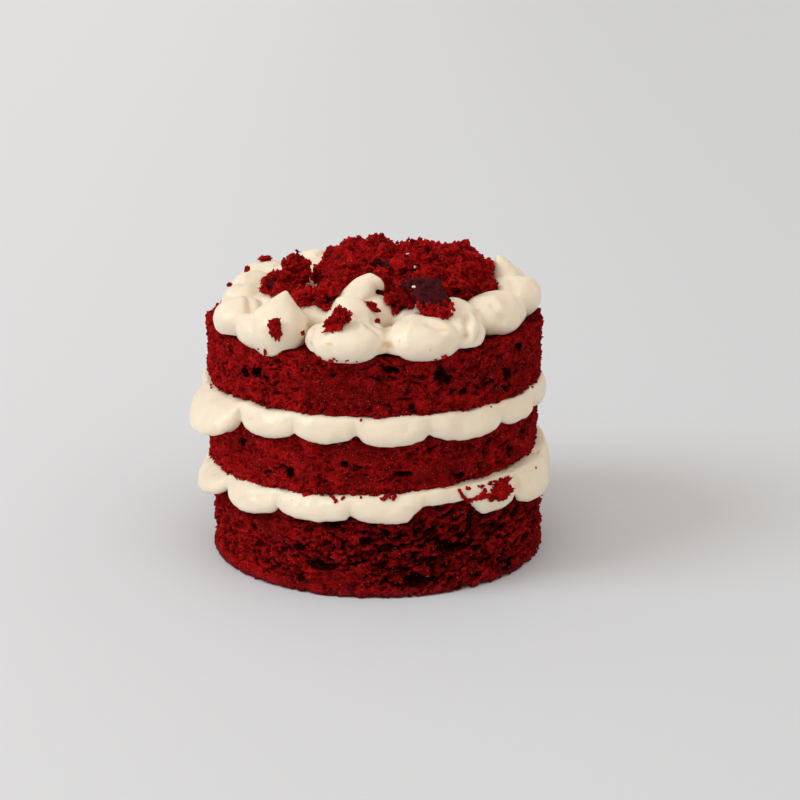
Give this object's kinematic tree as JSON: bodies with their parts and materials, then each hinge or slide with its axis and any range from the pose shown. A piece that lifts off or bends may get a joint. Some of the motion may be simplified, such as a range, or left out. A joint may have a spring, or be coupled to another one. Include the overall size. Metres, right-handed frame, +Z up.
{
  "type": "red velvet layer cake",
  "caption": "Small round naked layer cake: red sponge rounds with cream cheese filling between them, frosting dollops on top and a heap of red cake crumbs.",
  "frame": {"origin": "middle of the round underside that the cake stands on", "axes": "+Z up through the layers, -Y towards the side that the picture shows, +X to the right of that side"},
  "size_m": [0.1078, 0.1055, 0.0927],
  "materials": {
    "sponge": "moist, torn open crumb, deep red and matt",
    "frosting": "soft ivory cream with a faint wet gloss",
    "crumble": "loose torn crumb, deep red and matt",
    "crust": "smooth dull purple-brown baked skin"
  },
  "bodies": {
    "root": {"sponge_bottom": "sponge", "filling_lower": "frosting", "sponge_middle": "sponge", "filling_upper": "frosting", "sponge_top": "sponge", "frosting_top": "frosting", "crumble_heap": "crumble", "crumb_back_left": "crumble", "crumb_front_left": "crumble", "crumb_middle_left": "crumble", "crumb_front": "crumble", "crumb_crusted": "crust"}
  },
  "joints": []
}
